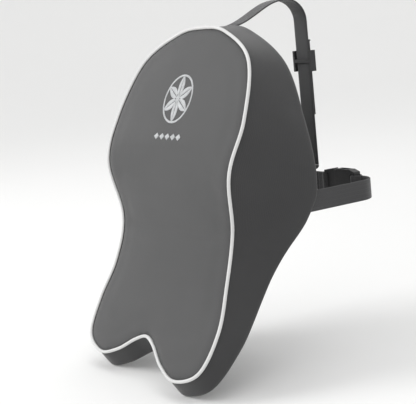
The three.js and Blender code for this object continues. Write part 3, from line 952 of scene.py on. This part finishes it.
def arc(cx, cy, r, start, end, steps=10):
    """Points along an arc, its angles in degrees."""
    angles = np.radians(np.linspace(start, end, steps + 1))
    return [(cx + r * math.cos(a), cy + r * math.sin(a)) for a in angles]


def top_strap():
    """Over the headrest and down behind it, doubled by its spare end and looped round the belt."""
    w, t, rear, top, bend = (STRAP[k] for k in ("width", "t", "rear", "top", "bend"))
    over = [
        (-4, 88), (0.6, 88.8), (5, 89.8), (10, 91.3), (17, 94), (27, 98.6),
        (38, 104), (50, 109), (61, top - 0.5), (rear - bend, top),
    ]
    y, z = BELT["rear"], BELT["z"]
    up, low = z + BELT["width"] / 2, z - BELT["width"] / 2
    route = [*smooth(over, 8), *arc(rear - bend, top - bend, bend, 90, 0)[1:], (rear, up + 5.4)]
    run = ribbon(yz(route), (1, 0, 0), w, t)
    obj = piece("top_strap_webbing", run, WEBBING)
    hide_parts("top_strap")

    tail_y = rear + t + TAIL_GAP
    free, sewn_end = STRAP["tail"]
    tail = ribbon(yz([(tail_y, free), (tail_y, sewn_end)]), (1, 0, 0), w - 1, t)
    fold = [(tail_y + t * 0.8, free + 0.2), (tail_y + t * 0.8, free - 1.4)]
    hem = ribbon(yz(fold), (1, 0, 0), w - 1.2, t * 0.7)
    obj = piece("top_strap_tail_webbing", merge([tail, hem]), WEBBING)
    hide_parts("top_strap_tail")

    round_belt = [
        (rear - y, up + 5), (10.6, up + 2.8), (8.5, up + 1.4), (5.6, up + 1.1), (3.4, up - 0.6),
        (2.9, up - 5), (2.9, z), (2.9, low + 5), (2.3, low), (0, low - 2), (-2.3, low), (-2.9, low + 5),
        (-2.9, z), (-2.9, up - 4), (-2.3, up + 0.2), (0, up + 2.4), (3.5, up + 2.8), (7, up + 3),
        (9.3, up + 4.3),
    ]
    loop = smooth([(y + out, at) for out, at in round_belt], 6)
    obj = piece("top_strap_loop_webbing", ribbon(yz(loop), (1, 0, 0), w, t, 1.0), WEBBING)
    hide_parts("top_strap_loop")

    back = (0, 1, 0)
    stitches = crossed_box((0, tail_y + t * 0.5, sewn_end + 7), (1, 0, 0), (0, 0, 1), back, w - 6, 11)
    ends = [np.array((x, tail_y + t * 1.15, free - 0.6)) * MM for x in (-w / 2 + 2, w / 2 - 2)]
    stitches += sewn(ends, back, 2.2)
    for y_at, z_at in ((3.0, 90.15), (5.6, 90.8)):
        ends = [np.array((x, y_at, z_at)) * MM for x in (-w / 2 + 1.5, w / 2 - 1.5)]
        stitches += sewn(ends, (0, -0.25, 0.97), 2.2)
    piece("top_strap_stitching", merge(stitches), STRAP_THREAD)


def belts():
    """From each side of the knee round under the headrest to the buckle behind it."""
    w, t, side, rear, r = (BELT[k] for k in ("width", "t", "side", "rear", "corner"))
    round_corner = arc(side - r, rear - r, r, 0, 90)

    # The right-hand belt goes round the buckle's bar and is sewn back onto itself.
    bar = [
        (101, 0.9), (97, 2.6), (94.8, 5.2), (92.4, 6.2), (89.8, 5.2), (89, 2), (89, -2),
        (89.8, -5.1), (92.4, -6.1), (94.8, -5.1), (97.4, -2.8), (101, -1.3), (104, -1.2),
    ]
    line = [(side, -12), *round_corner, *smooth([(x, rear + out) for x, out in bar], 5)]
    obj = piece("belt_right_webbing", ribbon(xy(line), (0, 0, 1), w, t, 1.2), WEBBING)
    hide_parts("belt_right")

    over_elastic = smooth([(100, rear + 0.1), (92, rear + 0.9), (88, rear + 1.9), (77, rear + 2)], 5)
    line = [(-x, y) for x, y in [(side, -12), *round_corner, *over_elastic]]
    obj = piece("belt_left_webbing", ribbon(xy(line), (0, 0, 1), w, t, 1.2), WEBBING)
    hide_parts("belt_left")

    tail_y = rear + t + TAIL_GAP
    free, sewn_end = BELT["tail"]
    tail = ribbon(xy([(free, tail_y), (sewn_end, tail_y)]), (0, 0, 1), w - 1, t)
    fold = [(free + 0.2, tail_y + t * 0.8), (free - 9, tail_y + t * 0.8)]
    hem = ribbon(xy(fold), (0, 0, 1), w - 1.2, t * 0.7)
    obj = piece("belt_tail_webbing", merge([tail, hem]), WEBBING)
    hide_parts("belt_tail")

    # The elastic run goes round the plug's bar in the same way.
    elastic = [
        (-90, 0), (-60, 0), (0, 0), (28, 0), (33, 0.9), (37, 2.2), (39.3, 4.6), (41.6, 5.3),
        (44.2, 4.4), (45, 1.6), (45, -1.6), (44.2, -4.4), (41.6, -5.3), (39.3, -4.6), (36, -2.2),
        (31, -1.8), (28, -1.9),
    ]
    route = resample(smooth([(x, rear + out) for x, out in elastic], 6), 1.2)
    run = ribbon(xy(route), (0, 0, 1), w, t, 1.2)
    obj = piece("belt_elastic_webbing", run, ELASTIC, body=None)
    z = BELT["z"]
    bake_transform(obj)
    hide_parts("belt_rear_elastic")

    back = (0, 1, 0)
    stitches = crossed_box((-82, rear + 3, z), (1, 0, 0), (0, 0, 1), back, 7, w - 6)
    sewn_x = sewn_end + 5.5
    stitches += crossed_box((sewn_x, tail_y + t / 2 + 0.1, z), (1, 0, 0), (0, 0, 1), back, 7, w - 7)
    for x in (free - 6, free - 3.5):
        ends = [np.array((x, tail_y + t * 1.2, z + s * (w / 2 - 2.5))) * MM for s in (-1, 1)]
        stitches += sewn(ends, back, 2.2)
    piece("belt_stitching", merge(stitches), STRAP_THREAD)


# ---- fittings kept from the CAD model -----------------------------------------------------------
def fittings():
    """Rounds the edges of the moulded and cast parts and gives them their materials."""
    moulded = ["top_adjuster", "belt_adjuster", "buckle_socket", "buckle_plug"]
    moulded += ["buckle_prong_upper", "buckle_prong_lower"]
    cast = {"zip_slider": 0.3, "zip_pull": 0.3, "zip_stop_left": 0.3, "zip_stop_right": 0.3}
    cast |= {"zip_teeth_upper": 0.14, "zip_teeth_lower": 0.14}
    for name, width in [*((n, 0.6) for n in moulded), *cast.items()]:
        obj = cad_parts[name]
        obj.data.materials.clear()
        obj.data.materials.append(PLASTIC if name in moulded else METAL)
        weld = obj.modifiers.new("Weld", "WELD")
        weld.merge_threshold = 0.01 * MM
        bevel = obj.modifiers.new("Edges", "BEVEL")
        bevel.width, bevel.segments = width * MM, 3
        bevel.limit_method, bevel.angle_limit = "ANGLE", math.radians(40)


# ---- studio -------------------------------------------------------------------------------------
def studio():
    """A pale floor that curves up all round, soft daylight from the left and above, and the camera."""
    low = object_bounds()[0][2] - 0.001
    profile = smooth([(1.5, 0), (3, 0), (4, 0.12), (4.8, 0.5), (5.4, 1.2), (5.7, 2.2)], 6)
    sides = 96
    turns = np.linspace(0, 2 * math.pi, sides, endpoint=False)
    rings = [
        np.stack([r * np.cos(turns), r * np.sin(turns), np.full(sides, low + z)], 1) for r, z in profile
    ]
    rings = np.stack(rings, 1)
    verts, faces, _ = grid(rings, np.zeros(sides + 1), np.zeros(len(profile)), closed_u=True)
    faces.append([i * len(profile) for i in reversed(range(sides))])  # the flat middle
    mesh = bpy.data.meshes.new("studio_floor")
    mesh.from_pydata([tuple(v) for v in verts], [], [f[::-1] for f in faces])
    mesh.polygons.foreach_set("use_smooth", np.arange(len(faces)) < len(faces) - 1)
    mesh.materials.append(plain_floor())
    floor = bpy.data.objects.new("studio_floor", mesh)
    scene.collection.objects.link(floor)

    world = bpy.data.worlds.new("soft_sky")
    world.use_nodes = True
    world.node_tree.nodes["Background"].inputs["Color"].default_value = (1, 1, 1, 1)
    world.node_tree.nodes["Background"].inputs["Strength"].default_value = 1.0
    scene.world = world
    for name, place, size, power in (
        ("key", (-1.1, -1.9, 1.5), 1.4, 32),
        ("front", (1.6, -2.4, 0.7), 1.2, 10),
        ("top", (0.2, 0.3, 2.2), 1.6, 6),
    ):
        light = bpy.data.lights.new(name, "AREA")
        light.shape, light.size, light.energy = "DISK", size, power
        lamp = bpy.data.objects.new(name, light)
        lamp.location = place
        lamp.rotation_euler = (-Vector(place)).to_track_quat("-Z", "Y").to_euler()
        scene.collection.objects.link(lamp)

    camera = bpy.data.cameras.new("camera")
    camera.sensor_width, camera.lens = 36, CAMERA["lens"]
    view = bpy.data.objects.new("camera", camera)
    right, ahead = (Vector(CAMERA[k]).normalized() for k in ("right", "ahead"))
    up = right.cross(ahead)
    axes = Matrix((right, up, -ahead)).transposed().to_4x4()
    view.matrix_world = Matrix.Translation(CAMERA["at"]) @ axes
    scene.collection.objects.link(view)
    scene.camera = view
    scene.view_settings.view_transform = "Standard"


face = cover_face()
cover_boxing()
back_panel("cover_upper_back", BACK_SEAM + SEAM_GAP, None, "upper_back_panel")
back_panel("cover_knee", ZIP["h"] + SEAM_GAP, BACK_SEAM - SEAM_GAP, "knee_panel", opening=1)
back_panel("cover_lower_back", None, ZIP["h"] - SEAM_GAP, "lower_back_panel", opening=-1)
foam_filling()
piping()
zip_tapes()
cover_stitching()
embroidery(face)
top_strap()
belts()
fittings()
studio()
